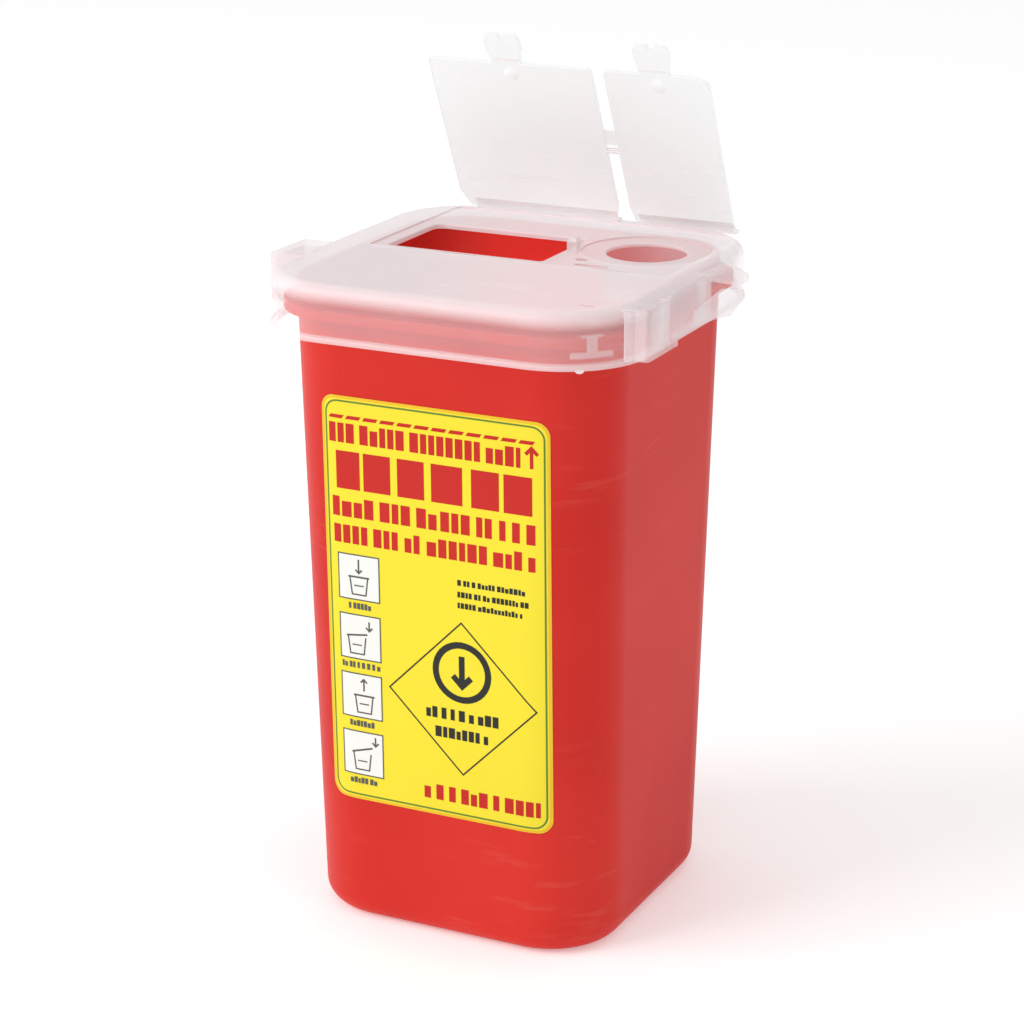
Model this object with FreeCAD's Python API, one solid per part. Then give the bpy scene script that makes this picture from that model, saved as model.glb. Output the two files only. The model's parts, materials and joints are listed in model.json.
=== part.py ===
import FreeCAD, Part
import math
import os

# Square sharps container: a tapered tub, a press-on lid with side wings,
# and two lid flaps on living hinges, each with a fold-over locking tab.
# Origin: middle of the tub's foot, on the bench. +Z up, label towards -Y,
# hinge line towards +Y. Lengths in millimetres, angles in degrees.

V = FreeCAD.Vector

# ---- tub ----
tub_height = 148.4          # bench to the tub's mouth
foot_half = 36.4            # half the outside width at the bench
mouth_half = 38.8           # half the outside width at the mouth
foot_corner = 17.5          # plan radius of the corners at the bench
mouth_corner = 15.2         # plan radius of the corners at the mouth
tub_wall = 1.4
tub_floor = 1.8
foot_round = 5.0            # rolled edge between walls and floor
flange_reach = 3.0          # flange under the lid, out from the wall
flange_thickness = 2.6
flange_drop = 4.6           # mouth down to the flange's top
mouth_round = 0.5

# ---- label ----
label_width = 54.6
label_height = 94.4
label_bottom = 30.2         # bench to the label's lower edge
label_corner = 3.2
label_thickness = 0.15

# ---- lid ----
deck_thickness = 1.5
skirt_depth = 12.4          # deck top to the skirt's lower edge
skirt_wall = 1.2
side_clearance = 0.4        # flange to skirt, left and right
front_clearance = 1.5       # flange to skirt, front and rear
seat_gap = 0.1              # tub mouth to the deck's underside
lid_corner = 19.0
shoulder_round = 2.6        # rounded edge between deck and skirt
hem_height = 1.2            # thickened lower edge of the skirt
hem_reach = 0.4
seat_depth = 0.4            # shallow pocket that the flaps lie over
seat_margin_left = 2.0      # pocket out past the large flap
seat_margin_right = 1.5     # pocket out past the small flap
seat_margin_front = 0.5     # pocket out past the tab slots
seat_corner = 1.5
catch_length = 9.5          # snap catches under the flange, one in each corner of the skirt
catch_height = 1.2
catch_reach = 0.8
catch_clearance = 0.25      # flange's underside to the catch

# ---- flaps ----
flap_length = 41.4          # hinge axis to the flap's free edge
flap_thickness = 0.9
flap_lift = 0.3             # deck top to a closed flap's underside
flap_open = 64.5            # how far the flaps stand open at rest
hinge_inset = 5.7           # lid's rear edge to the hinge axis
hinge_bead = 0.45           # radius of the rolled flap root
hinge_running_gap = 0.15
hinge_above_flap = 0.1      # closed flap's top to the hinge axis
ridge_width = 2.2
ridge_height = 0.9
large_margin = 12.2         # lid's left edge to the large flap
small_margin = 5.9          # lid's right edge to the small flap
flap_gap = 2.8              # between the two flaps
tip_corner = 1.0
outer_tip_corner = 3.2      # the small flap's free right corner
root_cut = 3.0              # large flap's left corner, cut back beside the hinge
middle_root_cut = 1.4       # the two corners between the flaps
outer_root_cut = 0.3        # small flap's right corner
flap_edge_round = 0.2
bridge_from_hinge = 21.2
bridge_height = 4.0
bridge_thickness = 0.6
dimple_radius = 1.8
dimple_depth = 0.4
dimple_inset = 3.0          # free edge to the dimple's middle

# ---- locking tabs ----
tab_length = 6.5
tab_width = 8.6             # across the barbs
neck_width = 7.4
neck_length = 0.75
fold_gap = 0.15             # each side of the fold line
tab_notch_depth = 1.1
tab_notch_width = 1.6
slot_clearance = 0.4        # round a folded tab
large_tab_offset = -0.45    # tab's middle from the large flap's middle
small_tab_offset = -0.1

# ---- openings in the deck ----
port_radius = 9.0
port_land = 3.6             # port's edge to the small flap's edge
port_from_hinge = 21.6
port_dish_radius = 14.6
sleeve_wall = 1.1
sleeve_depth = 8.0
drop_lap_left = 1.2         # how far the large flap covers past the opening
drop_lap_right = 1.3
drop_lap_front = 0.5
drop_rear_from_hinge = 16.6
drop_corner = 1.0
drop_rear_corner = 2.6
opening_round = 0.35        # softened upper edge of each opening
post_from_front = 9.8       # drop opening's front edge to the divider post
post_depth = 2.6
post_height = 3.0
post_clearance = 0.25
oval_slot_length = 8.0
oval_slot_width = 1.6
oval_slot_from_port = (5.0, 18.7)   # left of the port's middle, and in front of it
notch_length = 3.0
notch_width = 2.4
notch_from_port = (9.4, 14.1)

# ---- side wings ----
wing_reach = 3.9            # right front pad, out from the skirt
wing_step = 0.8             # right rear pad stands this much further in
wing_wall = 1.1
wing_drop = 0.3             # deck top to the pads' top
wing_edge_round = 1.0
wing_front = 11.3           # lid's front edge to the right front pad
front_pad_length = 11.7
pad_gap = 3.2
rear_pad_length = 21.4
rear_pad_lift = 0.8         # right rear pad's lower edge above the front pad's
groove_reach = 1.4
groove_floor = 1.3
corner_rib_radius = 1.1
ear_thickness = 1.1
ear_flare = 16.5            # outward lean of the ear, degrees
ear_start = 14.4            # ear root, forward from the rear pad's end
shelf_thickness = 1.0
shelf_drop = 1.1            # deck top to the shelf's top
shelf_reach = 6.0
left_pad_reach = 6.6        # the left side has one deep pad
left_pad_front = 24.0       # lid's front edge to the left pad
left_pad_length = 15.0

# ---- places worked out from the sizes above ----
deck_top = tub_height + seat_gap + deck_thickness
deck_under = deck_top - deck_thickness
lid_half_x = mouth_half + flange_reach + side_clearance + skirt_wall
lid_half_y = mouth_half + flange_reach + front_clearance + skirt_wall
skirt_bottom = deck_top - skirt_depth
flange_top = tub_height - flange_drop
flange_bottom = flange_top - flange_thickness

hinge_y = lid_half_y - hinge_inset
flap_under = deck_top + flap_lift
hinge_z = flap_under + flap_thickness + hinge_above_flap
small_right = lid_half_x - small_margin
small_left = small_right - 2 * (port_radius + port_land)
large_right = small_left - flap_gap
large_left = -(lid_half_x - large_margin)
flap_tip = hinge_y - flap_length
fold_y = flap_tip - neck_length - fold_gap

port_x = small_right - port_radius - port_land
port_y = hinge_y - port_from_hinge
drop_left = large_left + drop_lap_left
drop_right = large_right - drop_lap_right
drop_front = flap_tip + drop_lap_front
drop_rear = hinge_y - drop_rear_from_hinge
large_tab_x = (large_left + large_right) / 2 + large_tab_offset
small_tab_x = (small_left + small_right) / 2 + small_tab_offset


# ---- helpers ----
def block(x0, x1, y0, y1, z0, z1):
    """Box between two corners."""
    return Part.makeBox(x1 - x0, y1 - y0, z1 - z0, V(x0, y0, z0))


def rounded_outline(x0, x1, y0, y1, z, radii):
    """Rectangle with its own radius at each corner: front left, front right, rear right, rear left."""
    corners = [V(x0, y0, z), V(x1, y0, z), V(x1, y1, z), V(x0, y1, z)]
    edges = []
    ends = []
    for i, corner in enumerate(corners):
        before = (corners[i - 1] - corner).normalize() * radii[i]
        after = (corners[(i + 1) % 4] - corner).normalize() * radii[i]
        middle = corner + (before + after) * (1 - math.sqrt(0.5))
        ends.append((corner + before, corner + after))
        edges.append(Part.Arc(corner + before, middle, corner + after).toShape())
        if i:
            edges.insert(len(edges) - 1, Part.makeLine(ends[i - 1][1], ends[i][0]))
    edges.append(Part.makeLine(ends[3][1], ends[0][0]))
    return Part.Wire(edges)


def square_outline(half_x, half_y, radius, z):
    """Rounded rectangle about the origin."""
    return rounded_outline(-half_x, half_x, -half_y, half_y, z, [radius] * 4)


def prism(outline, height):
    """Closed outline raised straight up."""
    return Part.Face(outline).extrude(V(0, 0, height))


def polygon(points, direction):
    """Flat plate with straight edges, thickened along direction."""
    return Part.Face(Part.makePolygon(points + points[:1])).extrude(direction)


def slot(x, y, length, width, z0, z1):
    """Round-ended slot along X, as a cutter."""
    outline = rounded_outline(x - length / 2, x + length / 2, y - width / 2, y + width / 2, z0,
                              [width * 0.49] * 4)
    return prism(outline, z1 - z0)


def edges_at(shape, z):
    """Edges that lie wholly at height z."""
    return [e for e in shape.Edges if abs(e.BoundBox.ZMin - z) < 1e-4 and abs(e.BoundBox.ZMax - z) < 1e-4]


def within(edge, x0, x1, y0, y1):
    """True for an edge that stays inside a rectangle seen from above."""
    box = edge.BoundBox
    return box.XMin > x0 - 0.1 and box.XMax < x1 + 0.1 and box.YMin > y0 - 0.1 and box.YMax < y1 + 0.1


def opened(shape):
    """Turn a closed flap piece about the hinge axis to where it stands at rest."""
    shape = shape.copy()
    shape.rotate(V(0, hinge_y, hinge_z), V(1, 0, 0), -flap_open)
    return shape


# ---- tub ----
def tub_section(z, inset):
    share = z / tub_height
    half = foot_half + (mouth_half - foot_half) * share - inset
    radius = foot_corner + (mouth_corner - foot_corner) * share - inset
    return square_outline(half, half, radius, z)


def make_tub():
    outside = tub_outside()
    outside = outside.makeFillet(foot_round, edges_at(outside, 0))
    inside = Part.makeLoft([tub_section(tub_floor, tub_wall), tub_section(tub_height, tub_wall)], True, True)
    inside = inside.makeFillet(foot_round - tub_wall, edges_at(inside, tub_floor))
    flange_half = mouth_half + flange_reach
    flange = prism(square_outline(flange_half, flange_half, mouth_corner + flange_reach, flange_bottom),
                   flange_thickness)
    flange = flange.makeFillet(mouth_round, edges_at(flange, flange_top) + edges_at(flange, flange_bottom))
    tub = outside.fuse(flange).cut(inside)
    return tub.makeFillet(mouth_round, edges_at(tub, tub_height))


def tub_outside(inset=0.0):
    return Part.makeLoft([tub_section(0, inset), tub_section(tub_height, inset)], True, True)


def make_label():
    """Film that follows the front wall and bends a little way round both corners."""
    outline = rounded_outline(-label_width / 2, label_width / 2, label_bottom, label_bottom + label_height, 0,
                              [label_corner] * 4)
    cutter = prism(outline, 2 * mouth_half)
    cutter.rotate(V(0, 0, 0), V(1, 0, 0), 90)
    return tub_outside(-label_thickness).cut(tub_outside()).common(cutter)


# ---- lid ----
def lid_outside(extra=0.0):
    body = prism(square_outline(lid_half_x + extra, lid_half_y + extra, lid_corner + extra, skirt_bottom),
                 skirt_depth)
    return body.makeFillet(shoulder_round, edges_at(body, deck_top))


def tab_slot(x):
    rear = fold_y + slot_clearance
    front = fold_y - flap_thickness - slot_clearance
    return slot(x, (front + rear) / 2, tab_width + slot_clearance, rear - front, deck_under - 1, deck_top + 1)


def make_lid():
    hem = prism(square_outline(lid_half_x + hem_reach, lid_half_y + hem_reach, lid_corner + hem_reach,
                               skirt_bottom), hem_height)
    hem = hem.makeFillet(hem_reach * 0.9, edges_at(hem, skirt_bottom + hem_height))
    inside = prism(square_outline(lid_half_x - skirt_wall, lid_half_y - skirt_wall, lid_corner - skirt_wall,
                                  skirt_bottom), deck_under - skirt_bottom)
    inside = inside.makeFillet(shoulder_round - skirt_wall, edges_at(inside, deck_under))
    lid = lid_outside().fuse(hem).cut(inside)
    seat = rounded_outline(large_left - seat_margin_left, small_right + seat_margin_right,
                           fold_y - flap_thickness - slot_clearance - seat_margin_front,
                           hinge_y + hinge_bead, deck_top - seat_depth, [seat_corner] * 4)
    dish = Part.makeCylinder(port_dish_radius, 1, V(port_x, port_y, deck_top - 2 * seat_depth))
    drop = rounded_outline(drop_left, drop_right, drop_front, drop_rear, deck_under - 1,
                           [drop_corner, drop_corner, drop_corner, drop_rear_corner])
    cutters = [
        prism(seat, 1),
        dish,
        prism(drop, deck_thickness + 2),
        Part.makeCylinder(port_radius, deck_thickness + 2, V(port_x, port_y, deck_under - 1)),
        tab_slot(large_tab_x),
        tab_slot(small_tab_x),
        slot(port_x - oval_slot_from_port[0], port_y - oval_slot_from_port[1], oval_slot_length,
             oval_slot_width, deck_under - 1, deck_top + 1),
        slot(port_x - notch_from_port[0], port_y - notch_from_port[1], notch_length, notch_width,
             deck_under - 1, deck_top + 1),
    ]
    for cutter in cutters:
        lid = lid.cut(cutter)
    rims = [e for e in edges_at(lid, deck_top - seat_depth)
            if within(e, drop_left, drop_right, drop_front, drop_rear)]
    rims += [e for e in edges_at(lid, deck_top - 2 * seat_depth)
             if e.Curve.TypeId == "Part::GeomCircle" and abs(e.Curve.Radius - port_radius) < 1e-4]
    return lid.makeFillet(opening_round, rims)


def make_sleeve():
    foot = V(port_x, port_y, deck_under - sleeve_depth)
    outer = Part.makeCylinder(port_radius + sleeve_wall, sleeve_depth, foot)
    return outer.cut(Part.makeCylinder(port_radius, sleeve_depth, foot))


def make_catches():
    """Short ledges that follow the inside of the skirt's corners, just under the flange."""
    radius = lid_corner - skirt_wall
    spread = math.degrees(catch_length / radius)
    z1 = flange_bottom - catch_clearance
    catches = []
    for i in range(4):
        side_x, side_y = ((1, 1), (-1, 1), (-1, -1), (1, -1))[i]
        middle = V(side_x * (lid_half_x - lid_corner), side_y * (lid_half_y - lid_corner), z1 - catch_height)
        ring = Part.makeCylinder(radius, catch_height, middle, V(0, 0, 1), spread)
        ring = ring.cut(Part.makeCylinder(radius - catch_reach, catch_height, middle))
        ring.rotate(middle, V(0, 0, 1), 45 + 90 * i - spread / 2)
        catches.append(ring)
    return Part.makeCompound(catches)


def make_ridge(left, right):
    front = hinge_y + hinge_bead + hinge_running_gap
    rear = front + ridge_width
    ridge = block(left, right, front, rear, deck_top, deck_top + ridge_height)
    rear_edge = [e for e in edges_at(ridge, deck_top + ridge_height) if e.BoundBox.YMin > rear - 1e-4]
    return ridge.makeFillet(ridge_height * 0.6, rear_edge)


def make_post():
    left = large_right + post_clearance
    right = small_left - post_clearance
    front = drop_front + post_from_front
    post = block(left, right, front, front + post_depth, deck_top - seat_depth, deck_top + post_height)
    return post.makeFillet(post_depth * 0.4, edges_at(post, deck_top + post_height))


# ---- side wings ----
wing_top = deck_top - wing_drop
wing_bottom = skirt_bottom + hem_height


def pad(x1, y0, y1, z0):
    """Hollow pad standing off the right side of the skirt, open underneath."""
    inner_x = lid_half_x - lid_corner / 2
    outer = block(inner_x, x1, y0, y1, z0, wing_top)
    face_edges = [e for e in outer.Edges if e.BoundBox.XMin > x1 - 1e-4 and e.BoundBox.ZMax > z0 + 1e-4]
    hollow = block(inner_x - 1, x1 - wing_wall, y0 + wing_wall, y1 - wing_wall, z0 - 1, wing_top - wing_wall)
    return outer.makeFillet(wing_edge_round, face_edges).cut(hollow)


def make_right_wing():
    pad_front = -lid_half_y + wing_front
    pad_rear = pad_front + front_pad_length
    rear_front = pad_rear + pad_gap
    rear_end = rear_front + rear_pad_length
    rear_bottom = wing_bottom + rear_pad_lift
    outer_x = lid_half_x + wing_reach
    inner_x = outer_x - wing_step
    wing = pad(outer_x, pad_front, pad_rear, wing_bottom)
    wing = wing.fuse(pad(inner_x, rear_front, rear_end, rear_bottom))
    groove = block(lid_half_x - 1, lid_half_x + groove_reach, pad_rear - 0.2, rear_front + 0.2,
                   wing_bottom, wing_top)
    floor = block(lid_half_x - 1, outer_x, pad_rear - 0.2, rear_front + 0.6,
                  wing_bottom, wing_bottom + groove_floor)
    rib = Part.makeCylinder(corner_rib_radius, wing_top - wing_bottom - 0.4,
                            V(lid_half_x - 0.3, pad_front - 0.2, wing_bottom))
    # the ear: an upright leaf that leans out from the rear pad
    rise = wing_top - rear_bottom
    profile = [(0, 0.10), (9.6, 0.15), (15.4, 0.12), (20.4, 0.48), (19.8, 0.60), (17.9, 0.68), (13.3, 0.74),
               (9.4, 0.60), (1.1, 0.32)]
    ear = polygon([V(0, s, rear_bottom + rise * h) for s, h in profile], V(ear_thickness, 0, 0))
    ear.rotate(V(0, 0, 0), V(0, 0, 1), -ear_flare)
    ear.translate(V(inner_x - ear_thickness, rear_end - ear_start, 0))
    # the shelf: a flat leaf at deck level over the ear
    shelf_under = deck_top - shelf_drop - shelf_thickness
    reach = lid_half_x + wing_reach + shelf_reach
    plan = [(lid_half_x - 1, -1.5), (inner_x, 0.0), (reach - 0.4, -1.0), (reach, 4.0), (reach - 1.2, 6.6),
            (reach - 5.2, 11.2), (lid_half_x - 1, 13.0)]
    shelf = polygon([V(x, rear_end + y, shelf_under) for x, y in plan], V(0, 0, shelf_thickness))
    wing = wing.fuse([groove, floor, rib, ear, shelf])
    return wing.cut(lid_outside())


def make_left_wing():
    front = -lid_half_y + left_pad_front
    wing = pad(lid_half_x + left_pad_reach, front, front + left_pad_length, wing_bottom).cut(lid_outside())
    return wing.mirror(V(0, 0, 0), V(1, 0, 0))


# ---- flaps and tabs ----
def make_flap(left, right, cuts, corners, tab_x):
    """Flap in its closed place: left and right root cuts, and the radii of its two free corners."""
    top = flap_under + flap_thickness
    plate = prism(rounded_outline(left, right, flap_tip, hinge_y, flap_under,
                                  [corners[0], corners[1], 0.6, 0.6]), flap_thickness)
    plate = plate.makeFillet(flap_edge_round, edges_at(plate, top) + edges_at(plate, flap_under))
    depth = 1.5 * root_cut
    for x, cut, inward in ((left, cuts[0], 1), (right, cuts[1], -1)):
        wedge = [(x, hinge_y - depth), (x + inward * cut, hinge_y + 1), (x - inward, hinge_y + 1),
                 (x - inward, hinge_y - depth)]
        plate = plate.cut(polygon([V(px, py, flap_under - 1) for px, py in wedge],
                                  V(0, 0, flap_thickness + 2)))
    bead = Part.makeCylinder(hinge_bead, right - left - cuts[0] - cuts[1],
                             V(left + cuts[0], hinge_y, hinge_z), V(1, 0, 0))
    neck = block(tab_x - neck_width / 2, tab_x + neck_width / 2, flap_tip - neck_length, flap_tip + 1,
                 flap_under, top)
    ball = (dimple_radius ** 2 + dimple_depth ** 2) / (2 * dimple_depth)
    dome_bottom = V(tab_x + 0.6, flap_tip + dimple_inset, flap_under - dimple_depth)
    middle = dome_bottom + V(0, 0, ball)
    dome = Part.makeSphere(ball, middle).common(
        Part.makeCylinder(dimple_radius, dimple_depth + 0.2, dome_bottom))
    hollow = Part.makeSphere(ball, middle + V(0, 0, flap_thickness - 0.05)).common(
        Part.makeCylinder(dimple_radius, dimple_depth + 0.2, dome_bottom + V(0, 0, flap_thickness)))
    return plate.fuse(bead).fuse(neck).fuse(dome).cut(hollow)


def make_tab(tab_x):
    """Barbed tab in line with its closed flap, beyond the fold line."""
    wide = tab_width / 2
    neck = neck_width / 2
    start = fold_y - fold_gap
    end = start - tab_length
    right_side = [(neck, start), (neck + 0.1, start - 1.2), (wide, start - 2.6), (wide, end + 1.6),
                  (wide - 0.4, end + 0.6), (wide - 1.3, end), (tab_notch_width / 2 + 0.2, end),
                  (0.25, end + tab_notch_depth)]
    outline = right_side + [(-x, y) for x, y in reversed(right_side)]
    tab = polygon([V(tab_x + x, y, flap_under) for x, y in outline], V(0, 0, flap_thickness))
    uprights = [e for e in tab.Edges if e.BoundBox.ZLength > flap_thickness / 2
                and e.BoundBox.YMax < start - 2.4 and abs(e.BoundBox.XMin - tab_x) > 0.6]
    return tab.makeFillet(0.35, uprights)


def make_bridge():
    y1 = hinge_y - bridge_from_hinge
    return block(large_right, small_left, y1 - bridge_height, y1, flap_under, flap_under + bridge_thickness)


nodes = {
    "tub": make_tub(),
    "label": make_label(),
    "lid": make_lid(),
    "port_sleeve": make_sleeve(),
    "snap_catches": make_catches(),
    "left_wing": make_left_wing(),
    "right_wing": make_right_wing(),
    "large_hinge_ridge": make_ridge(large_left + root_cut, large_right - middle_root_cut),
    "small_hinge_ridge": make_ridge(small_left + middle_root_cut, small_right - outer_root_cut),
    "divider_post": make_post(),
    "large_flap": opened(make_flap(large_left, large_right, (root_cut, middle_root_cut),
                                   (tip_corner, tip_corner), large_tab_x)),
    "small_flap": opened(make_flap(small_left, small_right, (middle_root_cut, outer_root_cut),
                                   (tip_corner, outer_tip_corner), small_tab_x)),
    "flap_bridge": opened(make_bridge()),
    "large_tab": opened(make_tab(large_tab_x)),
    "small_tab": opened(make_tab(small_tab_x)),
}

os.makedirs("parts", exist_ok=True)
for name, shape in nodes.items():
    shape.exportStep(f"parts/{name}.step")
    box = shape.BoundBox
    print(f"{name}: {len(shape.Solids)} solid, valid {shape.isValid()}, volume {shape.Volume:.0f} mm3, "
          f"x {box.XMin:.1f}..{box.XMax:.1f} y {box.YMin:.1f}..{box.YMax:.1f} "
          f"z {box.ZMin:.1f}..{box.ZMax:.1f}")
print(f"hinge axis y {hinge_y:.3f} z {hinge_z:.3f}; fold line, closed, y {fold_y:.3f} z {flap_under:.3f}")
print(f"port x {port_x:.3f} y {port_y:.3f}; drop opening x {drop_left:.2f}..{drop_right:.2f} "
      f"y {drop_front:.2f}..{drop_rear:.2f}")
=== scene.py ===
import json
import math
import random
import bpy
import bmesh
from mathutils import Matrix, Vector


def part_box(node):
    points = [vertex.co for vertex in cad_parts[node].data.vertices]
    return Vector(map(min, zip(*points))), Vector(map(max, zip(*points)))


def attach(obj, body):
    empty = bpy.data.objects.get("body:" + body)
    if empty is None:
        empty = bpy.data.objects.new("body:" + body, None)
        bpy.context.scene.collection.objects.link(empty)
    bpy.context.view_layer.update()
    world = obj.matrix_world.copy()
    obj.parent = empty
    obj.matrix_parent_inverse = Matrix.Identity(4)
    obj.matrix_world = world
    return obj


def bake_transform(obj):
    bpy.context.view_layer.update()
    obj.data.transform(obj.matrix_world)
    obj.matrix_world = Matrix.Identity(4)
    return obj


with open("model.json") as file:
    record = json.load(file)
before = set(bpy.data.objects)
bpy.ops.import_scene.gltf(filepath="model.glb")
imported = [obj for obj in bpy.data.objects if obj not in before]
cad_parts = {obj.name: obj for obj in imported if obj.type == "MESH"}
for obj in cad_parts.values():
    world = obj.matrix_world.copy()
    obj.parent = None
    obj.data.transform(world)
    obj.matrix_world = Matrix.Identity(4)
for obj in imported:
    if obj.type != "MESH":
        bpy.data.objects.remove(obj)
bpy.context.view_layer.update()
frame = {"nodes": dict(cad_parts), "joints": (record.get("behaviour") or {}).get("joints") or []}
nodes = frame["nodes"]
joints = {joint["name"]: joint for joint in frame["joints"]}
mm = 0.001               # sizes in the dictionaries are in millimetres, everything built is in metres


def addNode(tree, kind, at, **settings):
    node = tree.nodes.new(kind)
    node.location = at
    for key, value in settings.items():
        setattr(node, key, value)
    return node


def newGroup(name, inputs, outputs):
    group = bpy.data.node_groups.new(name, "ShaderNodeTree")
    for label, kind, default in inputs:
        socket = group.interface.new_socket(name=label, in_out="INPUT", socket_type=kind)
        if default is not None:
            socket.default_value = default
    for label, kind in outputs:
        group.interface.new_socket(name=label, in_out="OUTPUT", socket_type=kind)
    start = addNode(group, "NodeGroupInput", (-900, 0))
    end = addNode(group, "NodeGroupOutput", (700, 0))
    return group, start, end


def mathNode(tree, operation, a, b, at, clamp=False):
    node = addNode(tree, "ShaderNodeMath", at, operation=operation, use_clamp=clamp)
    for i, value in enumerate((a, b)):
        if isinstance(value, (int, float)):
            node.inputs[i].default_value = value
        else:
            tree.links.new(value, node.inputs[i])
    return node.outputs[0]


def makeGrainGroup():
    # fine spark-eroded grain of a moulding tool, plus slow waviness of a thin wall
    group, start, end = newGroup(
        "moulded grain",
        [("Vector", "NodeSocketVector", None), ("Grain size", "NodeSocketFloat", 1500.0),
         ("Grain depth", "NodeSocketFloat", 0.4), ("Wave depth", "NodeSocketFloat", 0.6)],
        [("Height", "NodeSocketFloat"), ("Tone", "NodeSocketFloat")])
    fine = addNode(group, "ShaderNodeTexNoise", (-600, 200))
    fine.inputs["Detail"].default_value = 2.0
    fine.inputs["Roughness"].default_value = 0.6
    slow = addNode(group, "ShaderNodeTexNoise", (-600, -100))
    slow.inputs["Scale"].default_value = 28.0
    slow.inputs["Detail"].default_value = 1.0
    tone = addNode(group, "ShaderNodeTexNoise", (-600, -400))
    tone.inputs["Scale"].default_value = 14.0
    tone.inputs["Detail"].default_value = 3.0
    for texture in (fine, slow, tone):
        group.links.new(start.outputs["Vector"], texture.inputs["Vector"])
    group.links.new(start.outputs["Grain size"], fine.inputs["Scale"])
    fineHeight = mathNode(group, "MULTIPLY", fine.outputs["Fac"], start.outputs["Grain depth"], (-300, 200))
    slowHeight = mathNode(group, "MULTIPLY", slow.outputs["Fac"], start.outputs["Wave depth"], (-300, -100))
    height = mathNode(group, "ADD", fineHeight, slowHeight, (0, 100))
    group.links.new(height, end.inputs["Height"])
    group.links.new(tone.outputs["Fac"], end.inputs["Tone"])
    return group


def makeScuffGroup():
    # faint rubbed marks, longest across the part
    group, start, end = newGroup(
        "handling scuffs",
        [("Vector", "NodeSocketVector", None), ("Scale", "NodeSocketFloat", 90.0),
         ("Amount", "NodeSocketFloat", 0.5)],
        [("Mask", "NodeSocketFloat")])
    stretch = addNode(group, "ShaderNodeMapping", (-700, 0))
    stretch.inputs["Scale"].default_value = (0.35, 0.35, 2.6)
    stretch.inputs["Rotation"].default_value = (0.2, 0.35, 0.0)
    noise = addNode(group, "ShaderNodeTexNoise", (-500, 0))
    noise.inputs["Detail"].default_value = 5.0
    noise.inputs["Roughness"].default_value = 0.7
    patch = addNode(group, "ShaderNodeTexNoise", (-500, -250))
    patch.inputs["Scale"].default_value = 22.0
    group.links.new(start.outputs["Vector"], stretch.inputs["Vector"])
    group.links.new(stretch.outputs["Vector"], noise.inputs["Vector"])
    group.links.new(start.outputs["Vector"], patch.inputs["Vector"])
    group.links.new(start.outputs["Scale"], noise.inputs["Scale"])
    ridge = mathNode(group, "SUBTRACT", noise.outputs["Fac"], 0.56, (-250, 0))
    ridge = mathNode(group, "MULTIPLY", ridge, 9.0, (-100, 0), clamp=True)
    patchy = mathNode(group, "SUBTRACT", patch.outputs["Fac"], 0.45, (-250, -250))
    patchy = mathNode(group, "MULTIPLY", patchy, 5.0, (-100, -250), clamp=True)
    mask = mathNode(group, "MULTIPLY", ridge, patchy, (150, -50))
    mask = mathNode(group, "MULTIPLY", mask, start.outputs["Amount"], (350, -50))
    group.links.new(mask, end.inputs["Mask"])
    return group


grainGroup = makeGrainGroup()
scuffGroup = makeScuffGroup()


def startMaterial(name):
    material = bpy.data.materials.new(name)
    material.use_nodes = True
    tree = material.node_tree
    shader = tree.nodes["Principled BSDF"]
    shader.location = (600, 0)
    tree.nodes["Material Output"].location = (950, 0)
    coords = addNode(tree, "ShaderNodeTexCoord", (-1200, 0))
    return material, tree, shader, coords.outputs["Object"]


def addGrain(tree, shader, coords, size, depth, wave, bump):
    grain = addNode(tree, "ShaderNodeGroup", (-700, -300))
    grain.node_tree = grainGroup
    grain.inputs["Grain size"].default_value = size
    grain.inputs["Grain depth"].default_value = depth
    grain.inputs["Wave depth"].default_value = wave
    tree.links.new(coords, grain.inputs["Vector"])
    bumpNode = addNode(tree, "ShaderNodeBump", (250, -400))
    bumpNode.inputs["Strength"].default_value = bump
    bumpNode.inputs["Distance"].default_value = 0.0002
    tree.links.new(grain.outputs["Height"], bumpNode.inputs["Height"])
    tree.links.new(bumpNode.outputs["Normal"], shader.inputs["Normal"])
    return grain


def addScuffs(tree, coords, scale, amount):
    scuff = addNode(tree, "ShaderNodeGroup", (-700, -600))
    scuff.node_tree = scuffGroup
    scuff.inputs["Scale"].default_value = scale
    scuff.inputs["Amount"].default_value = amount
    tree.links.new(coords, scuff.inputs["Vector"])
    return scuff.outputs["Mask"]


def mixColour(tree, mask, a, b, at):
    mix = addNode(tree, "ShaderNodeMix", at, data_type="RGBA")
    slots = [socket for socket in mix.inputs if socket.type == "RGBA"]
    for slot, value in zip(slots, (a, b)):
        if isinstance(value, tuple):
            slot.default_value = (*value, 1.0)
        else:
            tree.links.new(value, slot)
    tree.links.new(mask, mix.inputs["Factor"])
    return [socket for socket in mix.outputs if socket.type == "RGBA"][0]


def rangeNode(tree, value, low, high, toLow, toHigh, at):
    node = addNode(tree, "ShaderNodeMapRange", at)
    node.inputs["From Min"].default_value = low
    node.inputs["From Max"].default_value = high
    node.inputs["To Min"].default_value = toLow
    node.inputs["To Max"].default_value = toHigh
    tree.links.new(value, node.inputs["Value"])
    return node.outputs["Result"]


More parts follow.
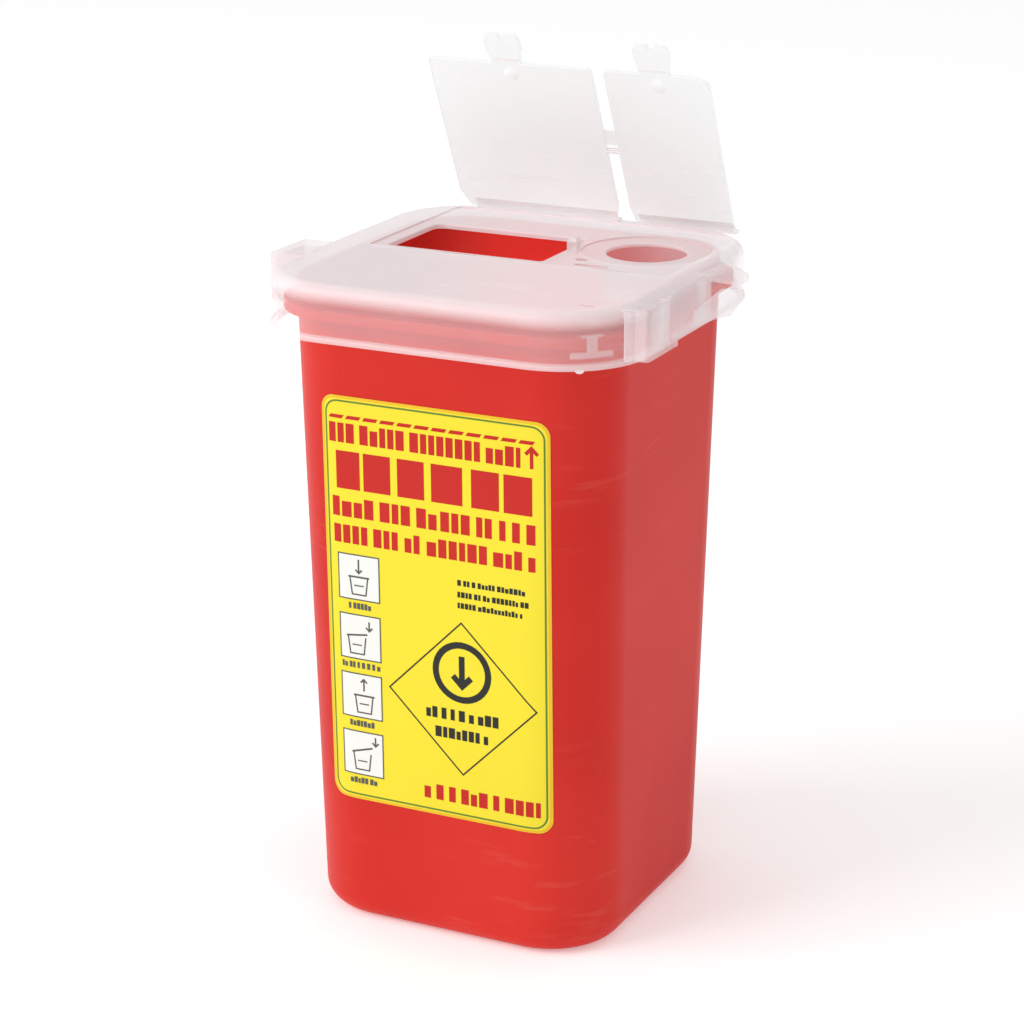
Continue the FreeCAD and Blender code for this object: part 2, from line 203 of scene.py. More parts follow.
plasticIor = 1.49
toneSpread = (0.35, 0.65)    # the part of the slow noise that turns one tone into the other
redPlastic = {"light": (0.66, 0.036, 0.026), "deep": (0.58, 0.024, 0.019), "worn": (0.70, 0.11, 0.09),
              "roughness": (0.40, 0.52), "shine": 0.09,
              "grain": {"size": 2200.0, "depth": 0.35, "wave": 1.4, "bump": 0.35},
              "scuffs": {"scale": 90.0, "amount": 0.35}}
frostFinish = {"grain": {"size": 1800.0, "depth": 0.5, "wave": 1.6, "bump": 0.3},
               "scuffs": {"scale": 110.0, "amount": 0.5},
               "cloud": 0.025,           # how much the haze wanders
               "scuffHaze": 0.12,
               "glowThrough": 0.80}      # share of the haze that soft light gets through, as in milky plastic
printFinish = {"grain": {"size": 3000.0, "depth": 0.3, "wave": 0.2, "bump": 0.15}, "shine": 0.25}
# the plastic's haze where it is thin and where it is thick, from the lid's lower edge (0) to its deck (1);
# the deck's high haze is partly its thicker plastic and partly painted sheen, the whiteness a deck seen at a
# grazing angle shows
lidPlastic = {"colour": (1.0, 0.955, 0.97), "tint": (0.98, 0.935, 0.95), "roughness": (0.34, 0.46),
              "haze": [(0.0, 0.36), (0.085, 0.36), (0.11, 0.12), (0.66, 0.14), (0.76, 0.29), (0.9, 0.52),
                       (1.0, 0.70)]}
# this plastic is darker than the lid's: painted shade for the grey that refraction gives the clear pads
wingPlastic = {"colour": (0.94, 0.86, 0.875), "tint": (0.90, 0.81, 0.83), "roughness": (0.34, 0.46),
               "haze": 0.30}
catchPlastic = {"colour": (0.95, 0.89, 0.90), "tint": (0.91, 0.85, 0.87), "roughness": (0.34, 0.46),
                "haze": 0.18}
trimPlastic = {"colour": (0.97, 0.94, 0.95), "tint": (0.94, 0.91, 0.93), "roughness": (0.34, 0.46),
               "haze": 0.58}
# the flap's cyan lean is a painted counter to the pink light the red tub bounces onto it; the plastic itself
# is neutral white
flapPlastic = {"colour": (0.935, 0.985, 0.985), "tint": (0.91, 0.955, 0.96), "roughness": (0.40, 0.50),
               "haze": 0.35}
# the recess colour is no ink: it is painted shade for the cored slot, with the red tub showing through
printColours = {"film": (0.87, 0.72, 0.030), "edge": (0.86, 0.52, 0.020), "red": (0.56, 0.016, 0.010),
                "black": (0.022, 0.022, 0.020), "green": (0.12, 0.23, 0.03), "white": (0.84, 0.84, 0.80),
                "grey": (0.10, 0.10, 0.095), "recess": (0.74, 0.46, 0.48)}


def addTone(tree, grain):
    return rangeNode(tree, grain.outputs["Tone"], *toneSpread, 0.0, 1.0, (-400, 0))


def addRoughness(tree, shader, scuffs, most, roughness):
    worn = rangeNode(tree, scuffs, 0.0, most, *roughness, (-100, -200))
    tree.links.new(worn, shader.inputs["Roughness"])


def makeRed():
    material, tree, shader, coords = startMaterial("red polypropylene")
    grain = addGrain(tree, shader, coords, **redPlastic["grain"])
    scuffs = addScuffs(tree, coords, **redPlastic["scuffs"])
    tone = addTone(tree, grain)
    colour = mixColour(tree, tone, redPlastic["deep"], redPlastic["light"], (0, 100))
    colour = mixColour(tree, scuffs, colour, redPlastic["worn"], (250, 100))
    tree.links.new(colour, shader.inputs["Base Color"])
    addRoughness(tree, shader, scuffs, redPlastic["scuffs"]["amount"], redPlastic["roughness"])
    shader.inputs["IOR"].default_value = plasticIor
    shader.inputs["Specular IOR Level"].default_value = redPlastic["shine"]
    return material


def makeFrosted(name, look):
    # milky film: each face of the wall adds its own share of haze over what lies behind it
    material, tree, shader, coords = startMaterial(name)
    grain = addGrain(tree, shader, coords, **frostFinish["grain"])
    scuffs = addScuffs(tree, coords, **frostFinish["scuffs"])
    tone = addTone(tree, grain)
    tree.links.new(mixColour(tree, tone, look["colour"], look["tint"], (0, 100)), shader.inputs["Base Color"])
    addRoughness(tree, shader, scuffs, frostFinish["scuffs"]["amount"], look["roughness"])
    wander = frostFinish["cloud"]
    cloud = rangeNode(tree, grain.outputs["Tone"], 0.3, 0.7, -wander, wander, (-400, -800))
    rubbed = mathNode(tree, "MULTIPLY", scuffs, frostFinish["scuffHaze"], (-250, -950))
    cloud = mathNode(tree, "ADD", cloud, rubbed, (-100, -850))
    if isinstance(look["haze"], float):
        haze = mathNode(tree, "ADD", cloud, look["haze"], (250, -800), clamp=True)
    else:
        # on the lid the haze follows height, and the deck's extra haze is partly painted sheen
        low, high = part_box("lid")
        height = addNode(tree, "ShaderNodeSeparateXYZ", (-1000, -1100))
        tree.links.new(coords, height.inputs[0])
        share = rangeNode(tree, height.outputs["Z"], low.z, high.z, 0.0, 1.0, (-800, -1100))
        ramp = addNode(tree, "ShaderNodeValToRGB", (-500, -1100))
        stops = ramp.color_ramp.elements
        while len(stops) < len(look["haze"]):
            stops.new(0.5)
        for stop, (place, amount) in zip(stops, look["haze"]):
            stop.position = place
            stop.color = (amount, amount, amount, 1.0)
        tree.links.new(share, ramp.inputs["Fac"])
        haze = mathNode(tree, "ADD", cloud, ramp.outputs["Color"], (250, -800), clamp=True)
    rays = addNode(tree, "ShaderNodeLightPath", (0, -1300))
    soft = mathNode(tree, "MAXIMUM", rays.outputs["Is Shadow Ray"], rays.outputs["Is Diffuse Ray"],
                    (200, -1300))
    passed = mathNode(tree, "MULTIPLY", soft, frostFinish["glowThrough"], (350, -1300))
    held = mathNode(tree, "SUBTRACT", 1.0, passed, (500, -1300))
    tree.links.new(mathNode(tree, "MULTIPLY", haze, held, (450, -800)), shader.inputs["Alpha"])
    shader.inputs["IOR"].default_value = plasticIor
    return material


def makePlain(name, colour, roughness, shade=0.9):
    material, tree, shader, coords = startMaterial(name)
    grain = addGrain(tree, shader, coords, **printFinish["grain"])
    tone = addTone(tree, grain)
    darker = tuple(c * shade for c in colour)
    tree.links.new(mixColour(tree, tone, colour, darker, (0, 100)), shader.inputs["Base Color"])
    shader.inputs["Roughness"].default_value = roughness
    shader.inputs["Specular IOR Level"].default_value = printFinish["shine"]
    return material


red = makeRed()
lidFrost = makeFrosted("frosted lid plastic", lidPlastic)
wingFrost = makeFrosted("frosted wing plastic", wingPlastic)
catchFrost = makeFrosted("frosted catch plastic", catchPlastic)
trimFrost = makeFrosted("thick frosted plastic", trimPlastic)
flapFrost = makeFrosted("frosted flap plastic", flapPlastic)
labelFilm = makePlain("yellow label film", printColours["film"], 0.38, 0.96)
edgeInk = makePlain("amber label edge", printColours["edge"], 0.40)
redInk = makePlain("red label ink", printColours["red"], 0.42)
blackInk = makePlain("black label ink", printColours["black"], 0.42)
greenInk = makePlain("green label ink", printColours["green"], 0.42)
whiteInk = makePlain("white label ink", printColours["white"], 0.42, 0.98)
greyInk = makePlain("grey label ink", printColours["grey"], 0.42)
slotShade = makePlain("shaded recess", printColours["recess"], 0.50)

for name, material in {"tub": red, "label": labelFilm, "lid": lidFrost, "port_sleeve": wingFrost,
                       "snap_catches": catchFrost, "left_wing": wingFrost, "right_wing": wingFrost,
                       "large_hinge_ridge": trimFrost, "small_hinge_ridge": trimFrost,
                       "divider_post": trimFrost, "large_flap": flapFrost, "small_flap": flapFrost,
                       "flap_bridge": flapFrost, "large_tab": flapFrost, "small_tab": flapFrost}.items():
    nodes[name].data.materials.clear()
    nodes[name].data.materials.append(material)
print("materials set on", len(nodes), "frame pieces")


def newObject(name, mesh):
    made = bpy.data.objects.new(name, mesh)
    bpy.context.scene.collection.objects.link(made)
    return made


def finishMesh(name, bm, material=None):
    bmesh.ops.recalc_face_normals(bm, faces=bm.faces)
    mesh = bpy.data.meshes.new(name)
    bm.to_mesh(mesh)
    bm.free()
    if material:
        mesh.materials.append(material)
    return newObject(name, mesh)


def addRun(bm, stations):
    # closed bar through a list of sections, each a loop of the same number of points
    rings = [[bm.verts.new(point) for point in section] for section in stations]
    count = len(rings[0])
    for ring, following in zip(rings, rings[1:]):
        for i in range(count):
            j = (i + 1) % count
            bm.faces.new((ring[i], ring[j], following[j], following[i]))
    bm.faces.new(rings[0][::-1])
    bm.faces.new(rings[-1])


def smooth(obj, angle):
    obj.data.shade_smooth()
    obj.data.set_sharp_from_angle(angle=math.radians(angle))
    return obj


def newTree(name, inputs):
    tree = bpy.data.node_groups.new(name, "GeometryNodeTree")
    tree.interface.new_socket(name="Geometry", in_out="INPUT", socket_type="NodeSocketGeometry")
    for label, kind, default in inputs:
        socket = tree.interface.new_socket(name=label, in_out="INPUT", socket_type=kind)
        if default is not None:
            socket.default_value = default
    tree.interface.new_socket(name="Geometry", in_out="OUTPUT", socket_type="NodeSocketGeometry")
    return tree, addNode(tree, "NodeGroupInput", (-1000, 0)), addNode(tree, "NodeGroupOutput", (1200, 0))


def endTree(tree, start, end, geometry):
    realize = addNode(tree, "GeometryNodeRealizeInstances", (800, 0))
    paint = addNode(tree, "GeometryNodeSetMaterial", (1000, 0))
    tree.links.new(geometry, realize.inputs["Geometry"])
    tree.links.new(realize.outputs["Geometry"], paint.inputs["Geometry"])
    tree.links.new(start.outputs["Material"], paint.inputs["Material"])
    tree.links.new(paint.outputs["Geometry"], end.inputs["Geometry"])


def makeWrapTree():
    # slides flat print along Y until it lies on the label, which bends round the tub's corners
    tree, start, end = newTree("lay print on label", [
        ("Label", "NodeSocketObject", None), ("Lift", "NodeSocketFloat", 0.00002),
        ("Material", "NodeSocketMaterial", None)])
    target = addNode(tree, "GeometryNodeObjectInfo", (-800, -300))
    tree.links.new(start.outputs["Label"], target.inputs["Object"])
    place = addNode(tree, "GeometryNodeInputPosition", (-800, 200))
    apart = addNode(tree, "ShaderNodeSeparateXYZ", (-600, 200))
    tree.links.new(place.outputs["Position"], apart.inputs[0])
    source = addNode(tree, "ShaderNodeCombineXYZ", (-400, 200))
    tree.links.new(apart.outputs["X"], source.inputs["X"])
    tree.links.new(apart.outputs["Z"], source.inputs["Z"])
    source.inputs["Y"].default_value = -0.2
    ray = addNode(tree, "GeometryNodeRaycast", (-200, 0))
    tree.links.new(target.outputs["Geometry"], ray.inputs["Target Geometry"])
    tree.links.new(source.outputs[0], ray.inputs["Source Position"])
    ray.inputs["Ray Direction"].default_value = (0.0, 1.0, 0.0)
    ray.inputs["Ray Length"].default_value = 0.4
    hit = addNode(tree, "ShaderNodeSeparateXYZ", (0, 0))
    tree.links.new(ray.outputs["Hit Position"], hit.inputs[0])
    depth = mathNode(tree, "ADD", hit.outputs["Y"], apart.outputs["Y"], (200, 0))
    depth = mathNode(tree, "SUBTRACT", depth, start.outputs["Lift"], (350, 0))
    laid = addNode(tree, "ShaderNodeCombineXYZ", (500, 100))
    tree.links.new(apart.outputs["X"], laid.inputs["X"])
    tree.links.new(depth, laid.inputs["Y"])
    tree.links.new(apart.outputs["Z"], laid.inputs["Z"])
    move = addNode(tree, "GeometryNodeSetPosition", (650, 0))
    tree.links.new(start.outputs["Geometry"], move.inputs["Geometry"])
    tree.links.new(laid.outputs[0], move.inputs["Position"])
    endTree(tree, start, end, move.outputs["Geometry"])
    return tree


def makeRowTree():
    # the mesh that comes in, repeated at even steps
    tree, start, end = newTree("row of copies", [
        ("Count", "NodeSocketInt", 3), ("Step", "NodeSocketVector", (0.001, 0.0, 0.0)),
        ("Material", "NodeSocketMaterial", None)])
    row = addNode(tree, "GeometryNodeMeshLine", (-500, 0), mode="OFFSET")
    tree.links.new(start.outputs["Count"], row.inputs["Count"])
    tree.links.new(start.outputs["Step"], row.inputs["Offset"])
    copies = addNode(tree, "GeometryNodeInstanceOnPoints", (100, 0))
    tree.links.new(row.outputs["Mesh"], copies.inputs["Points"])
    tree.links.new(start.outputs["Geometry"], copies.inputs["Instance"])
    endTree(tree, start, end, copies.outputs["Instances"])
    return tree


wrapTree = makeWrapTree()
rowTree = makeRowTree()


def bakeTree(obj, tree, values):
    modifier = obj.modifiers.new("build", "NODES")
    modifier.node_group = tree
    for item in tree.interface.items_tree:
        if item.item_type == "SOCKET" and item.in_out == "INPUT" and item.name in values:
            modifier[item.identifier] = values[item.name]
    ready = obj.evaluated_get(bpy.context.evaluated_depsgraph_get())
    mesh = bpy.data.meshes.new_from_object(ready)
    obj.modifiers.clear()
    obj.data = mesh
    return obj


# places are from the label's upper left corner, right then down
labelPrint = {
    "step": 1.3,                 # longest straight piece, so the print follows the bend
    "film": 0.02,
    "lift": 0.02,
    "panelStack": 0.025,         # ink on a white panel lies this much higher
    "edgeInset": 0.35, "edgeWidth": 0.5, "edgeCorner": 2.9,
    "borderInset": 1.15, "borderWidth": 0.38, "borderCorner": 2.9,
    "dashes": {"left": 1.9, "down": 4.3, "count": 12, "pitch": 4.15, "length": 3.3, "height": 0.8,
               "slant": 0.55},
    # each line of blocks: left, right, top, foot, block width
    "redLines": [(1.9, 48.0, 6.1, 10.5, 2.3), (2.3, 27.9, 22.9, 27.4, 2.6), (28.8, 42.1, 22.9, 27.4, 2.6),
                 (42.9, 51.8, 22.9, 27.4, 2.6), (2.5, 18.8, 29.3, 33.5, 2.5), (20.0, 24.3, 29.3, 33.5, 2.5),
                 (25.4, 51.5, 29.3, 33.5, 2.5), (23.8, 52.1, 87.1, 90.7, 2.3)],
    "redBlocks": {"down": (12.4, 21.0), "spans": [(3.5, 9.3), (10.2, 16.8), (18.5, 25.0), (26.7, 34.2),
                                                  (36.3, 42.9), (44.0, 50.7)]},
    "redArrow": {"middle": 50.6, "down": (5.9, 10.4), "head": 1.4, "line": 0.8},
    "blackLines": [(32.7, 49.0, 37.9, 39.2, 0.95), (32.7, 50.0, 40.6, 41.9, 0.95),
                   (32.7, 48.6, 43.1, 44.4, 0.95), (24.6, 42.3, 68.4, 71.0, 1.7),
                   (26.8, 40.4, 72.9, 75.4, 1.7)],
    "panels": {"left": 3.4, "size": (10.1, 10.4), "down": [36.0, 50.0, 64.0, 77.9], "line": 0.28,
               "captions": [(5.8, 11.3), (3.7, 13.3), (5.3, 11.7), (5.0, 12.0)], "captionDown": (11.2, 12.6),
               "captionBlock": 0.9, "captionMargin": 2.0},
    "diamond": {"middle": (33.5, 65.7), "half": 17.9, "line": 0.34},
    "ring": {"middle": (33.5, 59.4), "radius": 6.4, "line": 1.5, "parts": 36},
    "ringArrow": {"down": (55.6, 62.6), "head": 2.2, "line": 1.4},
}
# what stands in each of the four panels, from the sketched tub's middle, right then down
panelSketch = {
    "middle": (0.5, 0.42, 0.56, 0.48),       # share of the panel's width
    "tub": [(-2.2, 0.0), (-1.7, 4.0), (1.7, 4.0), (2.2, 0.0)], "tubLine": 0.34,
    "lidHalf": 2.6, "lidGap": 0.1, "lidTilt": (0.0, 0.7, 0.0, 1.5), "lidLine": 0.42,
    "markHalf": 1.2, "markDown": 1.9, "markLine": 0.3,
    "arrowRight": (0.0, 3.1, 0.0, 3.4),
    "arrowDown": ((-4.2, -1.0), (-3.9, -1.7), (-1.2, -4.0), (-4.3, -2.2)),
    "arrowHead": 0.8, "arrowLine": 0.4,
}


def labelPoint(u, v):
    low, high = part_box("label")
    return low.x + u * mm, high.z - v * mm


def addPatch(bm, a, b, c, d):
    # thin closed patch with corners a, b, c, d in order; a-b and d-c are its long edges
    film = labelPrint["film"] * mm
    span = max(math.dist(a, b), math.dist(d, c))
    parts = max(1, math.ceil(span / labelPrint["step"]))
    stations = []
    for i in range(parts + 1):
        share = i / parts
        upper = labelPoint(a[0] + (b[0] - a[0]) * share, a[1] + (b[1] - a[1]) * share)
        lower = labelPoint(d[0] + (c[0] - d[0]) * share, d[1] + (c[1] - d[1]) * share)
        stations.append([(upper[0], -film, upper[1]), (lower[0], -film, lower[1]),
                         (lower[0], 0, lower[1]), (upper[0], 0, upper[1])])
    addRun(bm, stations)


def addBar(bm, u0, u1, v0, v1):
    addPatch(bm, (u0, v0), (u1, v0), (u1, v1), (u0, v1))


def addLine(bm, a, b, width):
    length = math.dist(a, b)
    side = ((b[1] - a[1]) / length * width / 2, -(b[0] - a[0]) / length * width / 2)
    addPatch(bm, (a[0] + side[0], a[1] + side[1]), (b[0] + side[0], b[1] + side[1]),
             (b[0] - side[0], b[1] - side[1]), (a[0] - side[0], a[1] - side[1]))


def addPath(bm, points, width, closed=False):
    # mitred at each corner
    sides = []
    for i, (u, v) in enumerate(points):
        before = points[i - 1] if closed or i else points[i]
        after = points[(i + 1) % len(points)] if closed or i < len(points) - 1 else points[i]
        ways = [Vector((q[0] - p[0], q[1] - p[1])) for p, q in ((before, (u, v)), ((u, v), after)) if p != q]
        normals = [Vector((way.y, -way.x)).normalized() for way in ways]
        middle = sum(normals, Vector((0, 0))).normalized()
        reach = middle * (width / 2 / max(0.4, middle.dot(normals[0])))
        sides.append(((u + reach.x, v + reach.y), (u - reach.x, v - reach.y)))
    ends = sides[1:] + sides[:1] if closed else sides[1:]
    for a, b in zip(sides, ends):
        addPatch(bm, a[0], b[0], b[1], a[1])


def addArrow(bm, u, vTail, vTip, head, width):
    # the shaft's two halves end against the mitred head
    way = 1 if vTip > vTail else -1
    addPath(bm, [(u - head, vTip - way * head), (u, vTip), (u + head, vTip - way * head)], width)
    inner = vTip - way * width * math.sqrt(0.5)
    for side in (-1, 1):
        edge = u + side * width / 2
        addPatch(bm, (u, vTail), (u, inner), (edge, inner - way * width / 2), (edge, vTail))


def addBlocks(bm, u0, u1, v0, v1, glyph, seed):
    # plain blocks of uneven width stand in for a line of small print
    dice = random.Random(seed)
    u = u0
    while u < u1 - 0.3 * glyph:
        right = min(u + glyph * dice.uniform(0.55, 0.95), u1)
        drop = (v1 - v0) * dice.choice((0.0, 0.0, 0.0, 0.22))
        addBar(bm, u, right, v0 + drop, v1)
        u = right + glyph * dice.choice((0.22, 0.22, 0.22, 0.6))


def roundedFrame(u0, u1, v0, v1, radius, parts=6):
    points = []
    for cu, cv, turn in ((u1 - radius, v0 + radius, -90), (u1 - radius, v1 - radius, 0),
                         (u0 + radius, v1 - radius, 90), (u0 + radius, v0 + radius, 180)):
        for step in range(parts + 1):
            angle = math.radians(turn + step * 90 / parts)
            points.append((cu + radius * math.cos(angle), cv + radius * math.sin(angle)))
    return points


def labelSize():
    low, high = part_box("label")
    return (high.x - low.x) / mm, (high.z - low.z) / mm


def drawFrameLine(bm, inset, corner, width):
    wide, tall = labelSize()
    addPath(bm, roundedFrame(inset, wide - inset, inset, tall - inset, corner), width, closed=True)


def drawEdge(bm):
    drawFrameLine(bm, labelPrint["edgeInset"], labelPrint["edgeCorner"], labelPrint["edgeWidth"])


def drawBorder(bm):
    drawFrameLine(bm, labelPrint["borderInset"], labelPrint["borderCorner"], labelPrint["borderWidth"])


def drawRed(bm):
    for seed, (u0, u1, v0, v1, glyph) in enumerate(labelPrint["redLines"]):
        addBlocks(bm, u0, u1, v0, v1, glyph, 40 + seed)
    blocks = labelPrint["redBlocks"]
    for u0, u1 in blocks["spans"]:
        addBar(bm, u0, u1, *blocks["down"])
    arrow = labelPrint["redArrow"]
    addArrow(bm, arrow["middle"], arrow["down"][1], arrow["down"][0], arrow["head"], arrow["line"])


def drawBlack(bm):
    for seed, (u0, u1, v0, v1, glyph) in enumerate(labelPrint["blackLines"]):
        addBlocks(bm, u0, u1, v0, v1, glyph, 70 + seed)
    mark = labelPrint["diamond"]
    u, v = mark["middle"]
    half = mark["half"]
    addPath(bm, [(u, v - half), (u + half, v), (u, v + half), (u - half, v)], mark["line"], closed=True)
    ring = labelPrint["ring"]
    u, v = ring["middle"]
    circle = [(u + ring["radius"] * math.cos(i * math.tau / ring["parts"]),
               v + ring["radius"] * math.sin(i * math.tau / ring["parts"])) for i in range(ring["parts"])]
    addPath(bm, circle, ring["line"], closed=True)
    arrow = labelPrint["ringArrow"]
    addArrow(bm, u, *arrow["down"], arrow["head"], arrow["line"])


def drawWhite(bm):
    panels = labelPrint["panels"]
    wide, tall = panels["size"]
    for down in panels["down"]:
        addBar(bm, panels["left"], panels["left"] + wide, down, down + tall)


def drawPanelInk(bm):
    # frame, a small tub with its lid, and an arrow that goes in, stands, lifts or tips
    panels = labelPrint["panels"]
    sketch = panelSketch
    wide, tall = panels["size"]
    left = panels["left"]
    right = left + wide
    lowest = labelSize()[1] - panels["captionMargin"]
    for i, down in enumerate(panels["down"]):
        frameLine = [(left, down), (right, down), (right, down + tall), (left, down + tall)]
        addPath(bm, frameLine, panels["line"], closed=True)
        u = left + wide * sketch["middle"][i]
        v = down + tall * 0.5
        addPath(bm, [(u + across, v + below) for across, below in sketch["tub"]], sketch["tubLine"])
        half = sketch["lidHalf"]
        lidDown = v - sketch["lidGap"]
        addLine(bm, (u - half, lidDown), (u + half, lidDown - sketch["lidTilt"][i]), sketch["lidLine"])
        half = sketch["markHalf"]
        markDown = v + sketch["markDown"]
        addLine(bm, (u - half, markDown), (u + half, markDown), sketch["markLine"])
        tail, tip = sketch["arrowDown"][i]
        addArrow(bm, u + sketch["arrowRight"][i], v + tail, v + tip, sketch["arrowHead"], sketch["arrowLine"])
        start, stop = panels["captions"][i]
        top, foot = panels["captionDown"]
        addBlocks(bm, start, stop, down + top, min(down + foot, lowest), panels["captionBlock"], 90 + i)


def layPrint(name, draw, ink, lift):
    bm = bmesh.new()
    draw(bm)
    printed = finishMesh(name, bm)
    bakeTree(printed, wrapTree, {"Label": nodes["label"], "Lift": lift * mm, "Material": ink})
    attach(printed, "tub")


def layDashes():
    dash = labelPrint["dashes"]
    bm = bmesh.new()
    u, v = dash["left"], dash["down"]
    addPatch(bm, (u + dash["slant"], v), (u + dash["slant"] + dash["length"], v),
             (u + dash["length"], v + dash["height"]), (u, v + dash["height"]))
    row = finishMesh("label_dash_row", bm)
    step = (dash["pitch"] * mm, 0.0, 0.0)
    bakeTree(row, rowTree, {"Count": dash["count"], "Step": step, "Material": redInk})
    bakeTree(row, wrapTree, {"Label": nodes["label"], "Lift": labelPrint["lift"] * mm, "Material": redInk})
    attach(row, "tub")


lift = labelPrint["lift"]
layPrint("label_amber_edge", drawEdge, edgeInk, lift)
layPrint("label_green_border", drawBorder, greenInk, lift)
layPrint("label_red_print", drawRed, redInk, lift)
layPrint("label_black_print", drawBlack, blackInk, lift)
layPrint("label_white_panels", drawWhite, whiteInk, lift)
layPrint("label_panel_sketches", drawPanelInk, greyInk, lift + labelPrint["panelStack"])
layDashes()
print("label printed")


hingeWeb = {"thickness": 0.12, "clear": 0.02, "landing": 1.7, "fan": (15, 45, 75), "ridgeSeat": 0.5,
            "rootLean": 0.1,             # radians round the root, where the web leaves the ridge
            "rootDrop": 0.15,            # and how far under the axis, in root radii
            "halfway": (0.55, 0.45),     # share of the landing, and off it in root radii
            "flapFace": 0.1,             # the flap's rear face lies this far under the axis
            "parts": 12}
foldWeb = {"reach": 0.24, "thickness": 0.26, "narrower": 0.9}


def hingeAxis(name):
    place = Vector(joints[name]["pos_m"])
    openTurn = -math.radians(joints[name]["range_deg"][0])
    along = Vector((0, -math.cos(openTurn), math.sin(openTurn)))     # from the hinge to the flap's free edge
    outward = Vector((0, math.sin(openTurn), math.cos(openTurn)))    # off the flap's rear face
    return place, openTurn, along, outward


def addHingeWeb(body, jointName, ridgeNode):
    # thin web from the lid's ridge over the rolled root to the flap's rear face
    place, openTurn, along, outward = hingeAxis(jointName)
    low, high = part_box(ridgeNode)
    half = hingeWeb["thickness"] * mm / 2
    radius = low.y - place.y - hingeWeb["clear"] * mm - half
    line = [Vector((0, low.y + hingeWeb["ridgeSeat"] * mm, high.z + half))]
    line.append(Vector((0, place.y + radius * math.cos(hingeWeb["rootLean"]),
                        place.z - radius * hingeWeb["rootDrop"])))
    for degrees in hingeWeb["fan"]:
        angle = math.radians(degrees)
        line.append(place + Vector((0, radius * math.cos(angle), radius * math.sin(angle))))
    reach, rise = hingeWeb["halfway"]
    line.append(place + along * hingeWeb["landing"] * mm * reach + outward * (radius * rise))
    line.append(place + along * hingeWeb["landing"] * mm - outward * (hingeWeb["flapFace"] * mm - half))
    sides = []
    for i, point in enumerate(line):
        way = (line[min(i + 1, len(line) - 1)] - line[max(i - 1, 0)]).normalized()
        sides.append(Vector((0, -way.z, way.y)) * half)
    bm = bmesh.new()
    stations = []
    for i in range(hingeWeb["parts"] + 1):
        x = low.x + (high.x - low.x) * i / hingeWeb["parts"]
        loop = [point + side for point, side in zip(line, sides)]
        loop += [point - side for point, side in reversed(list(zip(line, sides)))]
        stations.append([(x, point.y, point.z) for point in loop])
    addRun(bm, stations)
    web = finishMesh(f"{body}_hinge_web", bm, trimFrost)
    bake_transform(web)


def addFoldWeb(tab, jointName):
    # short strip over the fold line, narrower than the tab's neck
    place = Vector(joints[jointName]["pos_m"])
    _, _, along, outward = hingeAxis("large_flap_hinge")
    low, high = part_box(tab)
    reach = foldWeb["reach"] * mm
    bm = bmesh.new()
    stations = []
    for share in (-1, -0.6, -0.2, 0.2, 0.6, 1):
        ring = []
        for side, rise in ((-1, 0), (1, 0), (1, 1), (-1, 1)):
            x = (low.x + high.x) / 2 + side * ((high.x - low.x) / 2 - foldWeb["narrower"] * mm)
            point = place + along * reach * share + outward * foldWeb["thickness"] * mm * rise
            ring.append((x, point.y, point.z))
        stations.append(ring)
    addRun(bm, stations)
    web = finishMesh(f"{tab}_fold_web", bm, trimFrost)
    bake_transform(web)


addHingeWeb("large_flap", "large_flap_hinge", "large_hinge_ridge")
addHingeWeb("small_flap", "small_flap_hinge", "small_hinge_ridge")
addFoldWeb("large_tab", "large_tab_fold")
addFoldWeb("small_tab", "small_tab_fold")
print("hinge and fold webs bent between their bodies")


catchDetail = {"cornerRadius": 17.8, "reach": 0.7, "stemWidth": 2.2, "stemRise": 3.2, "capWidth": 4.8,
               "capRise": 0.45, "hem": 0.4, "skirtWall": 1.2, "parts": 6}
gateDetail = {"place": (0.5, -31.5), "radius": 1.5, "rise": 0.22}
tearNub = {"place": (35.3, -40.9), "radius": 0.95, "drop": 0.65}
coreSlot = {"place": (34.4, -35.6), "size": (3.4, 0.5), "rise": 0.03, "sunk": 0.1}
domeSmooth = 40             # degrees
bridgeRibs = {"count": 3, "pitch": 0.62, "width": 0.34, "rise": 0.22}


def dome(bm, middle, radius, rise, rings=5, parts=24):
    # low round button; a negative rise hangs it downwards
    stations = []
    for i in range(rings):
        angle = math.pi / 2 * i / rings
        size = radius * math.cos(angle)
        height = rise * math.sin(angle)
        stations.append([(middle.x + size * math.cos(j * math.tau / parts),
                          middle.y + size * math.sin(j * math.tau / parts), middle.z + height)
                         for j in range(parts)])
    addRun(bm, stations)


def addCatchStems():
    # the stem and cap that core out above each catch, inside the skirt's corners
    low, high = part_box("lid")
    catchLow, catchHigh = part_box("snap_catches")
    radius = catchDetail["cornerRadius"] * mm
    hem = catchDetail["hem"] * mm
    wall = catchDetail["skirtWall"] * mm
    stemTop = catchHigh.z + catchDetail["stemRise"] * mm
    capTop = catchHigh.z + (catchDetail["stemRise"] + catchDetail["capRise"]) * mm
    parts = catchDetail["parts"]
    bm = bmesh.new()
    for sideX, sideY in ((1, -1), (-1, -1), (-1, 1), (1, 1)):
        middle = Vector((sideX * (high.x - hem - wall - radius), sideY * (high.y - hem - wall - radius), 0))
        for width, z0, z1 in ((catchDetail["stemWidth"], catchHigh.z, stemTop),
                              (catchDetail["capWidth"], stemTop, capTop)):
            spread = width * mm / radius
            stations = []
            for i in range(parts + 1):
                angle = math.atan2(sideY, sideX) + spread * (i / parts - 0.5)
                way = Vector((math.cos(angle), math.sin(angle), 0))
                outer = middle + way * radius
                inner = middle + way * (radius - catchDetail["reach"] * mm)
                stations.append([(outer.x, outer.y, z0), (outer.x, outer.y, z1), (inner.x, inner.y, z1),
                                 (inner.x, inner.y, z0)])
            addRun(bm, stations)
    stems = finishMesh("catch_stems", bm, catchFrost)
    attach(stems, "lid")


